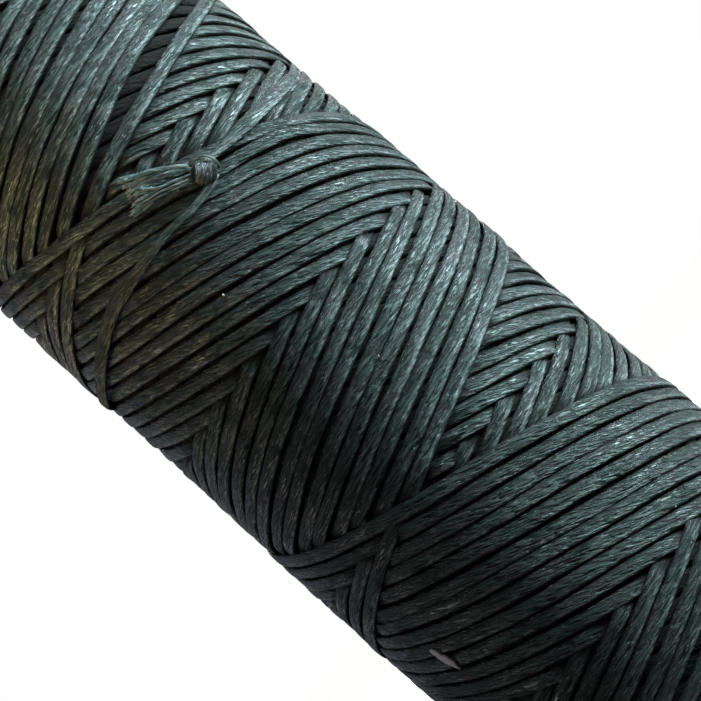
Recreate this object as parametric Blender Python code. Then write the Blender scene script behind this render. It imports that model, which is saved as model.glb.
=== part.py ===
"""Spool of flat waxed sewing thread, standing on end.

A moulded plastic tube carries a cross-wound package of thread. The thread climbs the spool in a
steep-looking right-hand helix, turns back at the end and comes down in a left-hand one, and each
round trip lands one strand further round, so the passes close up into a herringbone of strands.
One end of the thread is knotted on the outside, with a frayed cut tail.

Metres, +Z up along the spool, origin at the centre of the lower end.
"""

import math

import bmesh
import bpy
import numpy as np

# Thread
THREAD_WIDTH = 0.0009           # a flat strand where nothing squeezes it
THREAD_THICKNESS = 0.00032
TIGHT_WIDTH = 0.00055           # the same strand where the knot pulls it narrow

# Cross winding
WINDING_LENGTH = 0.064          # along the tube, at the bottom layer
PACKAGE_DIAMETER = 0.025        # over the newest strands
TURN_RISE = 0.0247              # a strand's climb along the spool in one turn
STRANDS_IN_RISE = 23            # strands side by side in that climb
LAST_CROSSING_HEIGHT = 0.0225   # from the winding's lower end to where the last two passes cross
LAST_CROSSING_ANGLE = math.radians(-110.3)
GROOVE_DEPTH = 0.00030          # between two strands, below their crowns
STRAND_WANDER = 0.00004         # how much some strands stand above others
END_ROUNDING = 0.0012           # where the strands turn back over the package's edge
END_LEAN = 0.0009               # outer layers are this much shorter at each end
END_STRAND_PITCH = 0.0013       # the turned-back strands seen on the end faces

# Moulded tube
TUBE_DIAMETER = 0.0135
TUBE_WALL = 0.0014
GRIP_RIB_COUNT = 12             # low ribs that keep the winding from slipping round
GRIP_RIB_HEIGHT = 0.0003
GRIP_RIB_WIDTH = 0.0009
BARE_END = 0.0024               # tube showing between the winding and a collar
COLLAR_DIAMETER = 0.0168
COLLAR_THICKNESS = 0.0016
COLLAR_CHAMFER = 0.0004
COLLAR_FILLET = 0.0005          # foot of the collar, on the tube
BORE_LEAD_IN = 0.0005           # chamfer at each mouth of the bore
CATCH_SLIT_WIDTH = 0.0006       # slit in the upper collar that holds the thread's end
CATCH_SLIT_DEPTH = 0.0012
CATCH_SLIT_ANGLE = math.radians(-60)

# Knot and the strands that leave it
KNOT_RISE = 0.0210              # from the last crossing up to the knot
KNOT_ANGLE = math.radians(-77.8)
KNOT_LENGTH = 0.0022
KNOT_WIDTH = 0.0016
KNOT_HEIGHT = 0.0009
KNOT_SLANT = math.radians(22)   # of its length, from level
KNOT_WAIST = 0.00024            # depth of the groove between its two turns of thread
KNOT_WAIST_OFFSET = 0.00032     # the groove, from the knot's middle towards the feeding strand
TIE_LENGTH = 0.0100             # tight strand running down and round from the knot
FEED_LENGTH = 0.0085            # strand that comes up to the knot from the other side
TAIL_LENGTH = 0.0047            # frayed end
TAIL_SPREAD = 0.0021            # how wide the fibres have opened at its tip
TAIL_NOTCH = 0.0008             # depth of the split between its two tufts

SEAT_GAP = 0.0003               # between touching pieces

# Sizes that follow from these
PACKAGE_RADIUS = PACKAGE_DIAMETER / 2
TUBE_RADIUS = TUBE_DIAMETER / 2
BORE_RADIUS = TUBE_RADIUS - TUBE_WALL
WINDING_BOTTOM = COLLAR_THICKNESS + BARE_END
WINDING_TOP = WINDING_BOTTOM + WINDING_LENGTH
TUBE_LENGTH = WINDING_TOP + BARE_END + COLLAR_THICKNESS
WINDING_BORE_RADIUS = TUBE_RADIUS + GRIP_RIB_HEIGHT + SEAT_GAP
CROSSING_Z = WINDING_BOTTOM + LAST_CROSSING_HEIGHT
KNOT_Z = CROSSING_Z + KNOT_RISE
OUTSIDE_SEAT_RADIUS = PACKAGE_RADIUS + STRAND_WANDER + SEAT_GAP

THREAD_GREEN = (0.030, 0.052, 0.049, 1.0)
TUBE_WHITE = (0.72, 0.71, 0.66, 1.0)


def clear_scene():
    """Start from an empty scene."""
    for item in list(bpy.context.scene.objects):
        bpy.data.objects.remove(item, do_unlink=True)


def make_material(name, colour, roughness, metallic=0.0):
    """One Principled material with the piece's own colour and finish."""
    material = bpy.data.materials.new(name)
    material.use_nodes = True
    shader = material.node_tree.nodes["Principled BSDF"]
    shader.inputs["Base Color"].default_value = colour
    shader.inputs["Roughness"].default_value = roughness
    shader.inputs["Metallic"].default_value = metallic
    material.diffuse_color = colour
    return material


def add_piece(name, vertices, faces, material, crease_angle):
    """Put a mesh in the scene as a named piece, smooth except across creases."""
    mesh = bpy.data.meshes.new(name)
    mesh.from_pydata([tuple(v) for v in vertices], [], [tuple(f) for f in faces])
    mesh.shade_smooth()
    mesh.set_sharp_from_angle(angle=crease_angle)
    mesh.materials.append(material)
    piece = bpy.data.objects.new(name, mesh)
    bpy.context.scene.collection.objects.link(piece)
    return piece


def ring_faces(row_count, column_count, rising):
    """Triangles of a ring-shaped skin whose rows and columns both close on themselves.

    Rows run up the outside, in over the top, down the bore and out underneath; columns run
    anticlockwise seen from above. Where rising is true a cell is split along the diagonal that
    climbs with the columns, and elsewhere along the one that falls.
    """
    row, column = np.meshgrid(np.arange(row_count), np.arange(column_count), indexing="ij")
    next_row, next_column = (row + 1) % row_count, (column + 1) % column_count
    low_left = row * column_count + column
    low_right = row * column_count + next_column
    top_right = next_row * column_count + next_column
    top_left = next_row * column_count + column
    first = np.where(rising[..., None],
                     np.stack([low_left, low_right, top_right], -1),
                     np.stack([low_left, low_right, top_left], -1))
    second = np.where(rising[..., None],
                      np.stack([low_left, top_right, top_left], -1),
                      np.stack([low_right, top_right, top_left], -1))
    return np.concatenate([first.reshape(-1, 3), second.reshape(-1, 3)])


def turned_points(radius, height, angle):
    """Points at these radii and heights round the spool's axis."""
    return np.stack([radius * np.cos(angle), radius * np.sin(angle), height + 0 * angle], -1)


def half_strands_back(count):
    """How many half strands ago a place was last covered: 0 at the newest strand's foot."""
    return count % (2 * STRANDS_IN_RISE)


def strand_level(steps):
    """Height of a strand's crown against the newest ones, the older the lower."""
    strand = steps // 2
    settling = -THREAD_THICKNESS * strand / STRANDS_IN_RISE
    return settling + STRAND_WANDER * np.sin(2.4 * strand)


def herringbone_relief(column, row):
    """Height of the winding's skin, and which way its strands run, on the crossing lattice.

    Columns are half a strand apart round the spool and rows half a strand apart along it, both
    counted from the last crossing. A right-hand strand keeps row minus column constant and a
    left-hand one row plus column, so both have their crowns where that sum is even and the
    grooves between strands where it is odd. The pass that came last is the one that shows.
    """
    right_hand = half_strands_back(row - column + 1)
    left_hand = half_strands_back(-row - column + 1)
    crown = right_hand % 2 == 1
    newest = np.minimum(right_hand, left_hand)
    # The newest strands' outer feet stand on the oldest layer beside them.
    whole_set = 2 * STRANDS_IN_RISE
    foot = np.minimum(np.where(right_hand == 0, whole_set, right_hand),
                      np.where(left_hand == 0, whole_set, left_hand))
    height = np.where(crown, strand_level(newest), strand_level(foot) - GROOVE_DEPTH)
    cell_right_hand = half_strands_back(row - column + 1)
    cell_left_hand = half_strands_back(-row - column)
    return height, cell_right_hand < cell_left_hand


def end_rows():
    """Rows of one end of the winding, from its rounded edge in to the bore.

    Each row is a radius, a distance in from the end, the outward direction there as radial and
    axial parts, and the height of the relief. The edge is a quarter circle, and the end face
    leans in towards the outer layers, with the turned-back strands as rings on it.
    """
    rows = []
    edge_steps = 3
    for step in range(1, edge_steps + 1):
        turn = math.pi / 2 * step / edge_steps
        rows.append((PACKAGE_RADIUS - END_ROUNDING * (1 - math.cos(turn)),
                     END_LEAN + END_ROUNDING * (1 - math.sin(turn)),
                     math.cos(turn), math.sin(turn),
                     -GROOVE_DEPTH * (step % 2)))
    face_outer = PACKAGE_RADIUS - END_ROUNDING
    face_width = face_outer - WINDING_BORE_RADIUS
    rings = 2 * max(1, round(face_width / END_STRAND_PITCH))
    for ring in range(1, rings + 1):
        share = ring / rings
        rows.append((face_outer - face_width * share, END_LEAN * (1 - share), 0.0, 1.0,
                     -GROOVE_DEPTH * (ring % 2)))
    return rows


def make_thread_package(material):
    """The wound thread: a sleeve with a herringbone skin, rounded edges and ringed ends."""
    columns = 2 * STRANDS_IN_RISE
    row_pitch = TURN_RISE / columns
    edge_inset = END_LEAN + END_ROUNDING
    first_row = math.ceil((WINDING_BOTTOM + edge_inset - CROSSING_Z) / row_pitch)
    last_row = math.floor((WINDING_TOP - edge_inset - CROSSING_Z) / row_pitch)
    side_rows = np.arange(first_row, last_row + 1)
    column, row = np.meshgrid(np.arange(columns), side_rows)
    relief, side_rising = herringbone_relief(column, row)

    angle = LAST_CROSSING_ANGLE + 2 * math.pi * np.arange(columns) / columns
    side = turned_points(PACKAGE_RADIUS + relief, CROSSING_Z + row_pitch * row, angle[column])

    def end_points(end_z, outward):
        """Rows of points over one end, from the rounded edge to the bore."""
        return [turned_points(radius + height * radial,
                              end_z - outward * inset + outward * height * axial, angle)
                for radius, inset, radial, axial, height in end_rows()]

    top = end_points(WINDING_TOP, 1)
    bottom = end_points(WINDING_BOTTOM, -1)[::-1]
    points = np.concatenate([side, np.array(top), np.array(bottom)])
    rising = np.zeros(points.shape[:2], dtype=bool)
    rising[:len(side)] = side_rising
    faces = ring_faces(points.shape[0], columns, rising)
    return add_piece("thread_package", points.reshape(-1, 3), faces, material, math.radians(20))


def rib_angles():
    """Column angles round the tube: both feet and both corners of each rib, and a gap's middle."""
    pitch = 2 * math.pi / GRIP_RIB_COUNT
    corner = GRIP_RIB_WIDTH / 2 / TUBE_RADIUS
    foot = corner + GRIP_RIB_HEIGHT / 2 / TUBE_RADIUS
    angles, on_rib = [], []
    for rib in range(GRIP_RIB_COUNT):
        for offset, raised in ((-foot, 0), (-corner, 1), (corner, 1), (foot, 0), (pitch / 2, 0)):
            angles.append(rib * pitch + offset)
            on_rib.append(raised)
    return np.array(angles), np.array(on_rib)


def tube_profile():
    """Radius, height and rib share of each row of the tube, round its whole section."""
    collar = COLLAR_DIAMETER / 2
    inner_face = COLLAR_THICKNESS
    half = [(BORE_RADIUS + BORE_LEAD_IN, 0.0, 0),
            (collar - COLLAR_CHAMFER, 0.0, 0),
            (collar, COLLAR_CHAMFER, 0),
            (collar, inner_face - COLLAR_CHAMFER / 2, 0),
            (collar - COLLAR_CHAMFER / 2, inner_face, 0),
            (TUBE_RADIUS + GRIP_RIB_HEIGHT + COLLAR_FILLET, inner_face, 0),
            (TUBE_RADIUS, inner_face + COLLAR_FILLET, 1)]
    upper = [(radius, TUBE_LENGTH - height, rib) for radius, height, rib in reversed(half)]
    bore = [(BORE_RADIUS, TUBE_LENGTH - BORE_LEAD_IN, 0), (BORE_RADIUS, BORE_LEAD_IN, 0)]
    return half + upper + bore


def make_core_tube(material):
    """The moulded tube: bore, collars, grip ribs and the slit that catches the thread."""
    angle, on_rib = rib_angles()
    rows = [turned_points(radius + GRIP_RIB_HEIGHT * on_rib * ribbed, height, angle)
            for radius, height, ribbed in tube_profile()]
    points = np.array(rows)
    faces = ring_faces(points.shape[0], points.shape[1], np.zeros(points.shape[:2], dtype=bool))
    tube = add_piece("core_tube", points.reshape(-1, 3), faces, material, math.radians(25))

    cutter_mesh = bpy.data.meshes.new("catch_slit_cutter")
    shape = bmesh.new()
    bmesh.ops.create_cube(shape, size=1.0)
    bmesh.ops.scale(shape, verts=shape.verts,
                    vec=(2 * CATCH_SLIT_DEPTH, CATCH_SLIT_WIDTH, 3 * COLLAR_THICKNESS))
    shape.to_mesh(cutter_mesh)
    shape.free()
    cutter = bpy.data.objects.new("catch_slit_cutter", cutter_mesh)
    bpy.context.scene.collection.objects.link(cutter)
    rim = COLLAR_DIAMETER / 2
    cutter.location = (rim * math.cos(CATCH_SLIT_ANGLE), rim * math.sin(CATCH_SLIT_ANGLE),
                       TUBE_LENGTH)
    cutter.rotation_euler = (0, 0, CATCH_SLIT_ANGLE)
    cutter.hide_render = True
    cutter.display_type = "WIRE"
    slit = tube.modifiers.new("catch_slit", "BOOLEAN")
    slit.operation = "DIFFERENCE"
    slit.object = cutter
    return tube


def lay_strand(name, turn, rise, lift, width, thickness, tip_notch, material):
    """A flat strand laid on the outside of the winding.

    turn, rise and lift are arrays along the strand: angle from the knot, height from the knot and
    the underside's distance above the seat on the winding. Its section is a flat oval, and
    tip_notch pulls the middle of the last section back to leave two tufts.
    """
    radius = OUTSIDE_SEAT_RADIUS + thickness / 2 + lift
    middle = turned_points(radius, KNOT_Z + rise, KNOT_ANGLE + turn)
    outward = turned_points(np.ones_like(turn), 0 * turn, KNOT_ANGLE + turn)
    along = np.gradient(middle, axis=0)
    along /= np.linalg.norm(along, axis=1)[:, None]
    across = np.cross(outward, along)
    sides = 8
    around = 2 * math.pi * (np.arange(sides) + 0.5) / sides
    offset_across, offset_out = np.cos(around), np.sin(around)
    points = (middle[:, None] + across[:, None] * offset_across[:, None] * width[:, None, None] / 2
              + outward[:, None] * offset_out[:, None] * thickness / 2)
    points[-1] -= along[-1] * tip_notch * (1 - np.abs(offset_across[:, None]))
    faces = []
    for ring in range(len(turn) - 1):
        for side in range(sides):
            here, there = ring * sides + side, ring * sides + (side + 1) % sides
            faces.append((here, there, there + sides, here + sides))
    faces.append(tuple(reversed(range(sides))))
    last = (len(turn) - 1) * sides
    faces.append(tuple(range(last, last + sides)))
    return add_piece(name, points.reshape(-1, 3), faces, material, math.radians(60))


def strand_route(length, leaves, slope, bend, points):
    """Turn and rise along a strand that starts just clear of the knot and bends as it goes.

    leaves is where it starts, seen from the knot's middle, slope is its direction there, and
    bend is how far it has turned at its end. All are angles from the spool's upward direction,
    positive anticlockwise seen from the outside.
    """
    clear_of_knot = KNOT_LENGTH / 2 + SEAT_GAP
    share = np.linspace(0, 1, points)
    heading = slope + bend * share
    step = (length - clear_of_knot) / (points - 1)
    sideways = -np.sin(heading)
    upward = np.cos(heading)
    start_side = -clear_of_knot * math.sin(leaves)
    start_up = clear_of_knot * math.cos(leaves)
    side = start_side + np.concatenate([[0], np.cumsum(sideways[:-1])]) * step
    up = start_up + np.concatenate([[0], np.cumsum(upward[:-1])]) * step
    return share, side / OUTSIDE_SEAT_RADIUS, up


def make_knot_strands(material):
    """The tight tie strand, the strand that feeds the knot, and the frayed tail."""
    share, turn, rise = strand_route(TIE_LENGTH, math.radians(115), math.radians(90), 0.0, 16)
    width = TIGHT_WIDTH + (THREAD_WIDTH - TIGHT_WIDTH) * share ** 2
    lay_strand("tie_strand", turn, rise, 0 * share, width, THREAD_THICKNESS, 0.0, material)

    share, turn, rise = strand_route(FEED_LENGTH, math.radians(-68), math.radians(-87),
                                     math.radians(8), 14)
    width = TIGHT_WIDTH + (THREAD_WIDTH - TIGHT_WIDTH) * share
    lay_strand("feed_strand", turn, rise, 0 * share, width, THREAD_THICKNESS, 0.0, material)

    share, turn, rise = strand_route(TAIL_LENGTH, math.radians(52), math.radians(60), 0.0, 8)
    width = TIGHT_WIDTH + (TAIL_SPREAD - TIGHT_WIDTH) * share
    lift = THREAD_THICKNESS * share
    lay_strand("cut_tail", turn, rise, lift, width, THREAD_THICKNESS, TAIL_NOTCH, material)


def make_end_knot(material):
    """The knot: two turns of thread pulled tight beside each other into a flattened bead."""
    shape = bmesh.new()
    bmesh.ops.create_uvsphere(shape, u_segments=16, v_segments=15, radius=1.0)
    radius = OUTSIDE_SEAT_RADIUS + KNOT_HEIGHT / 2
    outward = np.array([math.cos(KNOT_ANGLE), math.sin(KNOT_ANGLE), 0.0])
    sideways = np.array([-math.sin(KNOT_ANGLE), math.cos(KNOT_ANGLE), 0.0])
    upward = np.array([0.0, 0.0, 1.0])
    lengthways = math.cos(KNOT_SLANT) * sideways + math.sin(KNOT_SLANT) * upward
    across = math.cos(KNOT_SLANT) * upward - math.sin(KNOT_SLANT) * sideways
    centre = radius * outward + KNOT_Z * upward
    groove_width = THREAD_THICKNESS / 2
    for vertex in shape.verts:
        x, y, z = vertex.co
        place = z * KNOT_LENGTH / 2
        from_groove = (place - KNOT_WAIST_OFFSET) / groove_width
        groove = KNOT_WAIST * math.exp(-from_groove ** 2)
        vertex.co = (centre + lengthways * place + across * x * (KNOT_WIDTH / 2 - groove)
                     + outward * y * (KNOT_HEIGHT / 2 - groove / 2))
    mesh = bpy.data.meshes.new("end_knot")
    shape.to_mesh(mesh)
    shape.free()
    mesh.shade_smooth()
    mesh.materials.append(material)
    knot = bpy.data.objects.new("end_knot", mesh)
    bpy.context.scene.collection.objects.link(knot)
    return knot


clear_scene()
thread = make_material("waxed_thread", THREAD_GREEN, 0.5)
plastic = make_material("tube_plastic", TUBE_WHITE, 0.4)
make_core_tube(plastic)
make_thread_package(thread)
make_end_knot(thread)
make_knot_strands(thread)
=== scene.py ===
"""Looks of a spool of flat waxed sewing thread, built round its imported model."""

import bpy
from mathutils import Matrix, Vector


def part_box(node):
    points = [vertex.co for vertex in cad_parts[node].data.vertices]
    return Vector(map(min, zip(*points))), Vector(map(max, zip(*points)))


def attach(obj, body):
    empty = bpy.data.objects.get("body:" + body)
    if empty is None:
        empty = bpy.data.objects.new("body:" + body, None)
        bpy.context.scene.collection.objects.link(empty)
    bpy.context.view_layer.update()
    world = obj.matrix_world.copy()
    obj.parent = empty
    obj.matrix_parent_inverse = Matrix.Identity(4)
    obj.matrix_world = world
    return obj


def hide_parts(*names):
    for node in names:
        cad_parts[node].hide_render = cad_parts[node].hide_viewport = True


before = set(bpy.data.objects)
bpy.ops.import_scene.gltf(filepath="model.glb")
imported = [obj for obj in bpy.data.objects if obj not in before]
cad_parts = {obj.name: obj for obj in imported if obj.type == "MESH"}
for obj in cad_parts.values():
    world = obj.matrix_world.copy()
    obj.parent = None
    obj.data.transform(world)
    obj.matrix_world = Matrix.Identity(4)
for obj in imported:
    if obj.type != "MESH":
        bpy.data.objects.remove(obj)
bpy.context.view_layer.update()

import math

import bpy
import numpy as np
from mathutils import Matrix, Vector

# ---- Core tube ----
# The tube is one moulding of white polypropylene with a low collar at each end. It keeps its
# solid from the frame. Handling has left faint scuffs on it, and the wax has dulled it.

tube_white = (0.60, 0.59, 0.54)
tube_dulled = (0.42, 0.41, 0.35)
haze_scale, scuff_scale = 260.0, 1900.0         # waves in a metre
scuff_depth, scuff_strength = 0.00003, 0.2
clean_roughness, dulled_roughness = 0.34, 0.55


def add_node(tree, kind, **settings):
    """A new node of a kind, with its settings."""
    node = tree.nodes.new(kind)
    for key, value in settings.items():
        setattr(node, key, value)
    return node


def feed(tree, value, socket):
    """Joins an output to a socket, or sets a number on it."""
    if hasattr(value, "is_linked"):
        tree.links.new(value, socket)
    else:
        socket.default_value = value


def give(tree, node, **inputs):
    """Feeds values to a node's inputs, called by their names with _ for each space."""
    for name, value in inputs.items():
        feed(tree, value, node.inputs[name.replace("_", " ")])


def maths(tree, operation, *values):
    """The output of a Math node on sockets or numbers."""
    node = add_node(tree, "ShaderNodeMath", operation=operation)
    for value, socket in zip(values, node.inputs):
        feed(tree, value, socket)
    return node.outputs[0]


def spread(tree, value, low, high, to_low=0.0, to_high=1.0, soft=True):
    """A value between low and high, eased or straight, as one between to_low and to_high."""
    node = add_node(tree, "ShaderNodeMapRange",
                    interpolation_type="SMOOTHSTEP" if soft else "LINEAR")
    for number, socket in zip((value, low, high, to_low, to_high), node.inputs):
        feed(tree, number, socket)
    return node.outputs[0]


def noise(tree, place, scale, detail=2.0, distortion=0.0):
    """Noise of a scale at a place."""
    node = add_node(tree, "ShaderNodeTexNoise")
    give(tree, node, Vector=place, Scale=scale, Detail=detail, Distortion=distortion)
    return node.outputs["Fac"]


def blend_colours(tree, share, first, second):
    """A mix of two colours by a share."""
    node = add_node(tree, "ShaderNodeMix", data_type="RGBA")
    feed(tree, share, node.inputs["Factor"])
    for colour, name in ((first, "A"), (second, "B")):
        socket = [s for s in node.inputs if s.name == name and s.type == "RGBA"][0]
        feed(tree, colour if hasattr(colour, "is_linked") else (*colour, 1.0), socket)
    return [s for s in node.outputs if s.type == "RGBA"][0]


def object_place(tree):
    """The place of a point on the object, in metres."""
    return add_node(tree, "ShaderNodeTexCoord").outputs["Object"]


def emboss(tree, height, strength, depth, shader):
    """Turns a height into a shader's normal."""
    node = add_node(tree, "ShaderNodeBump")
    give(tree, node, Strength=strength, Distance=depth, Height=height)
    give(tree, shader, Normal=node.outputs[0])


def new_material(name):
    """A material with its tree and its Principled shader."""
    material = bpy.data.materials.new(name)
    material.use_nodes = True
    return material, material.node_tree, material.node_tree.nodes["Principled BSDF"]


tube_plastic, tree, shader = new_material("tube_plastic")
place = object_place(tree)
wax_haze = spread(tree, noise(tree, place, haze_scale, 4.0, 0.6), 0.42, 0.68)
scuffs = spread(tree, noise(tree, place, scuff_scale, 3.0, 1.5), 0.55, 0.75)
dulled = maths(tree, "MAXIMUM", wax_haze, scuffs)
give(tree, shader, Base_Color=blend_colours(tree, dulled, tube_white, tube_dulled),
     Roughness=spread(tree, wax_haze, 0.0, 1.0, clean_roughness, dulled_roughness))
emboss(tree, scuffs, scuff_strength, scuff_depth, shader)
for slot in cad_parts["core_tube"].material_slots:
    slot.material = tube_plastic


# ---- Inner winding ----
# The deep layers of the package are thread pressed solid. One sleeve stands for them, close
# behind the strands that show, so that no light passes between those.

winding_low, winding_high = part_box("thread_package")
package_radius = 0.0125
winding_bore = 0.00735
layer_rise = 0.00030            # from one layer to the next, with the strands pressed flat
end_lean = 0.0009               # outer layers stop this much short of the inner ones
layers_seen = 5.0
sleeve_inset = 0.0012           # from the end faces' strands
sleeve_edge = 0.0006            # of the slanting edge at each end
sleeve_columns = 96
sharp_edge = math.radians(35)
# near black: painted shade for the deep layers, seen only through gaps
painted_deep_shade = (0.008, 0.013, 0.012)
deep_mottling = 3000.0          # waves in a metre
outer_low, outer_high = winding_low.z + end_lean, winding_high.z - end_lean


def spool_points(radius, angle, z):
    """Points at a radius, angle and height about the spool's axis."""
    return np.stack([radius * np.cos(angle), radius * np.sin(angle), z + 0 * angle], -1)


def new_object(name, data):
    """An object in the scene with its mesh, lamp or camera."""
    added = bpy.data.objects.new(name, data)
    bpy.context.scene.collection.objects.link(added)
    return added


def place_piece(name, mesh, slot, material, *nodes):
    """Puts a mesh in the scene as a piece of the spool that stands for some of its nodes."""
    piece = new_object(name, mesh)
    mesh.materials.append(material)
    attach(piece, "root")
    if nodes:
        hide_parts(*nodes)
    return piece


def ringed_mesh(name, points, joined):
    """A closed surface through rings of points, with four-sided faces from ring to ring.

    Joined, its last ring leads back to its first. Otherwise one face covers each of the two.
    """
    rings, columns = points.shape[:2]
    ring, column = np.meshgrid(np.arange(rings if joined else rings - 1), np.arange(columns),
                               indexing="ij")
    up, on = (ring + 1) % rings, (column + 1) % columns
    faces = np.stack([ring * columns + column, ring * columns + on, up * columns + on,
                      up * columns + column], -1).reshape(-1, 4).tolist()
    if not joined:
        faces.append(list(range(columns))[::-1])
        faces.append(list(range((rings - 1) * columns, rings * columns)))
    mesh = bpy.data.meshes.new(name)
    mesh.from_pydata(points.reshape(-1, 3).tolist(), [], faces)
    mesh.shade_smooth()
    return mesh


def turned_mesh(name, profile, columns):
    """A closed ring: a closed profile of radius and height, carried once round the axis."""
    profile = np.array(profile)
    angle = 2 * math.pi * np.arange(columns) / columns
    mesh = ringed_mesh(name, spool_points(profile[:, :1], angle[None, :], profile[:, 1:]), True)
    mesh.set_sharp_from_angle(angle=sharp_edge)
    return mesh


# The sleeve's mottled near-black colour is painted shade.
deep_shaded_thread, tree, shader = new_material("deep_shaded_thread")
mottling = noise(tree, object_place(tree), deep_mottling)
give(tree, shader, Base_Color=blend_colours(tree, mottling, (0, 0, 0), painted_deep_shade), Roughness=0.8)

sleeve_radius = package_radius - layers_seen * layer_rise
place_piece("inner_winding", turned_mesh("inner_winding", [
    (winding_bore, winding_low.z + sleeve_inset),
    (sleeve_radius - sleeve_edge, outer_low + sleeve_inset),
    (sleeve_radius, outer_low + sleeve_inset + sleeve_edge),
    (sleeve_radius, outer_high - sleeve_inset - sleeve_edge),
    (sleeve_radius - sleeve_edge, outer_high - sleeve_inset),
    (winding_bore, winding_high.z - sleeve_inset),
], sleeve_columns), "waxed_thread", deep_shaded_thread, "thread_package")


# ---- Passes underneath ----
# The thread, a flat bundle of dark green polyester filaments soaked in wax, is wound crosswise:
# a right-hand pass up the spool, a left-hand one down, and each round trip lands one strand
# further round. These passes, of the last set but one, show through gaps and at the ends.

thread_width = 0.00092
thread_thickness = 0.00032
turn_rise = 0.0247
strands_in_rise = 23
strand_turn = 2 * math.pi / strands_in_rise
crossing_z = winding_low.z + 0.0225
crossing_angle = math.radians(-110.3)
end_rounding = 0.0012
steepest_lean = 0.98            # of the rounded end: the sine of its tilt
loop_turn = 0.6                 # about how far round a strand runs while it turns back
loop_fade = 1.6                 # in loop turns: how far the layering takes to ease off
loop_inset = thread_width / 2   # from the outer layer's end to the middle of a turned-back strand
section_flatness = 0.65         # of a strand: 1 for an ellipse, towards 0 for a rectangle
strand_half_round = 1.17        # in millimetres
rise_per_angle = turn_rise / (2 * math.pi)
loop_low, loop_high = outer_low + loop_inset, outer_high - loop_inset
knot_z = crossing_z + 0.0210
knot_angle = math.radians(-77.8)
slip_z, slip_reach = crossing_z + 0.0288, 0.0030
slip_down, slip_up, slip_share = 0.0003, 0.0007, 0.72
pulled_up, pulled_up_side, pulled_up_reach = 0.0005, 0.0062, 0.0026
pulled_down, pulled_down_side, pulled_down_reach = 0.0003, 0.0003, 0.0016
pull_share, pull_reach = 0.6, 0.004
# The hand's unevenness. Waves have their reach first and then their lengths.
aside_reach, aside_waves = 0.00009, (0.00004, 0.009, 0.021)
narrowest, widest, width_waves = -0.07, 0.05, (0.025, 0.003, 0.007, 0.016)
thickness_waves = (0.06, 0.005, 0.013)
strand_roll, roll_reach, roll_waves = -0.07, 0.06, (0.05, 0.008, 0.019)
depth_waves = (1.0, 0.005, 0.012)
depth_reach, loop_depth, cover_start, cover_ease = 0.10, 0.9, 0.1, 0.6    # in layers
# painted sheen: right-hand passes are painted brighter, with more glints
painted_right_hand_sheen = 0.3                    # right-hand passes are this much brighter, on a scale of 1
under_sides, under_spacing = 8, 0.0008
piece_triangles = 180000

dark_green = (0.012, 0.019, 0.021)
thread_green = (0.054, 0.087, 0.087)
# the raised filaments' colour, also a painted highlight on each strand's lower edge
filament_and_highlight_green = (0.170, 0.268, 0.270)
# pale bare wax, also painted glints
bare_wax_and_glint = (0.52, 0.73, 0.76)
# painted shade in the seams between strands
painted_groove_shade = (0.0025, 0.0038, 0.0042)
# painted shade on strands that others cover
shaded_brown = (0.016, 0.013, 0.015)
violet_tint = (0.085, 0.086, 0.106)
violet_share = 0.42
dullest_strand, brightest_strand = 0.66, 1.26
least_flaked, most_flaked = 0.35, 1.0
dull_roughness, gloss_roughness, hidden_roughness = 0.38, 0.20, 0.9
wax_shine = 0.60
shine_tint = (0.68, 1.0, 1.0)

rng = np.random.default_rng(20)


def smooth(x):
    """A step from 0 to 1 that starts and ends level: 3x^2 - 2x^3, with x held from 0 to 1."""
    x = np.clip(x, 0, 1)
    return x * x * (3 - 2 * x)


def wander(rows, along, reach, *sizes):
    """Smooth noise along each row: a sum of sines of random phase, one for each size of wave."""
    total = np.zeros((rows, along.shape[-1]))
    for size in sizes:
        phase = rng.uniform(0, 2 * math.pi, (rows, 1))
        stretch = rng.uniform(0.8, 1.25, (rows, 1))
        total += np.sin(2 * math.pi * along * stretch / size + phase)
    return total * reach / math.sqrt(len(sizes))


def outer_surface(z):
    """Radius and outward tilt of the outer layer at a height: straight, then a quarter circle."""
    top, bottom = outer_high - end_rounding, outer_low + end_rounding
    over = np.maximum(z - top, 0) + np.minimum(z - bottom, 0)
    lean = np.clip(over / end_rounding, -steepest_lean, steepest_lean)
    return package_radius - end_rounding * (1 - np.sqrt(1 - lean ** 2)), lean


def loop_turn_at(height, aim):
    """The turn of an end loop, nearest the aim, that joins a pass to one a few strands on."""
    offset = 4 * math.pi * (height - crossing_z) / turn_rise
    return abs(round((offset + aim) / strand_turn) * strand_turn - offset)


high_turn = loop_turn_at(loop_high, loop_turn)
low_turn = loop_turn_at(loop_low, -loop_turn)


def pass_lines(numbers, hand, spacing):
    """Angle, height, nearness to the end loops and distance along every pass of one hand.

    A pass climbs steadily between two half loops. On a half loop the height follows a parabola
    of the angle, level at its tip. hand is 1 for a right-hand pass and -1 for a left-hand one.
    """
    low_join = loop_low + rise_per_angle * low_turn / 2
    high_join = loop_high - rise_per_angle * high_turn / 2
    whole = low_turn + (high_join - low_join) / rise_per_angle + high_turn
    turn = np.linspace(0, whole, int(whole * package_radius / spacing) + 1)
    left = whole - turn
    climb = np.where(turn < low_turn, turn ** 2 / (2 * low_turn), turn - low_turn / 2)
    descent = np.where(left < high_turn, left ** 2 / (2 * high_turn), left - high_turn / 2)
    z = np.where(turn < whole / 2, loop_low + rise_per_angle * climb,
                 loop_high - rise_per_angle * descent)
    start = crossing_angle + strand_turn * numbers + hand * (low_join - crossing_z) / rise_per_angle
    angle = start[:, None] + hand * (turn - low_turn)[None, :]
    near_loop = np.maximum(1 - turn / (loop_fade * low_turn), 1 - left / (loop_fade * high_turn))
    return angle, np.broadcast_to(z, angle.shape), smooth(near_loop)[None, :], turn * package_radius


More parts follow.
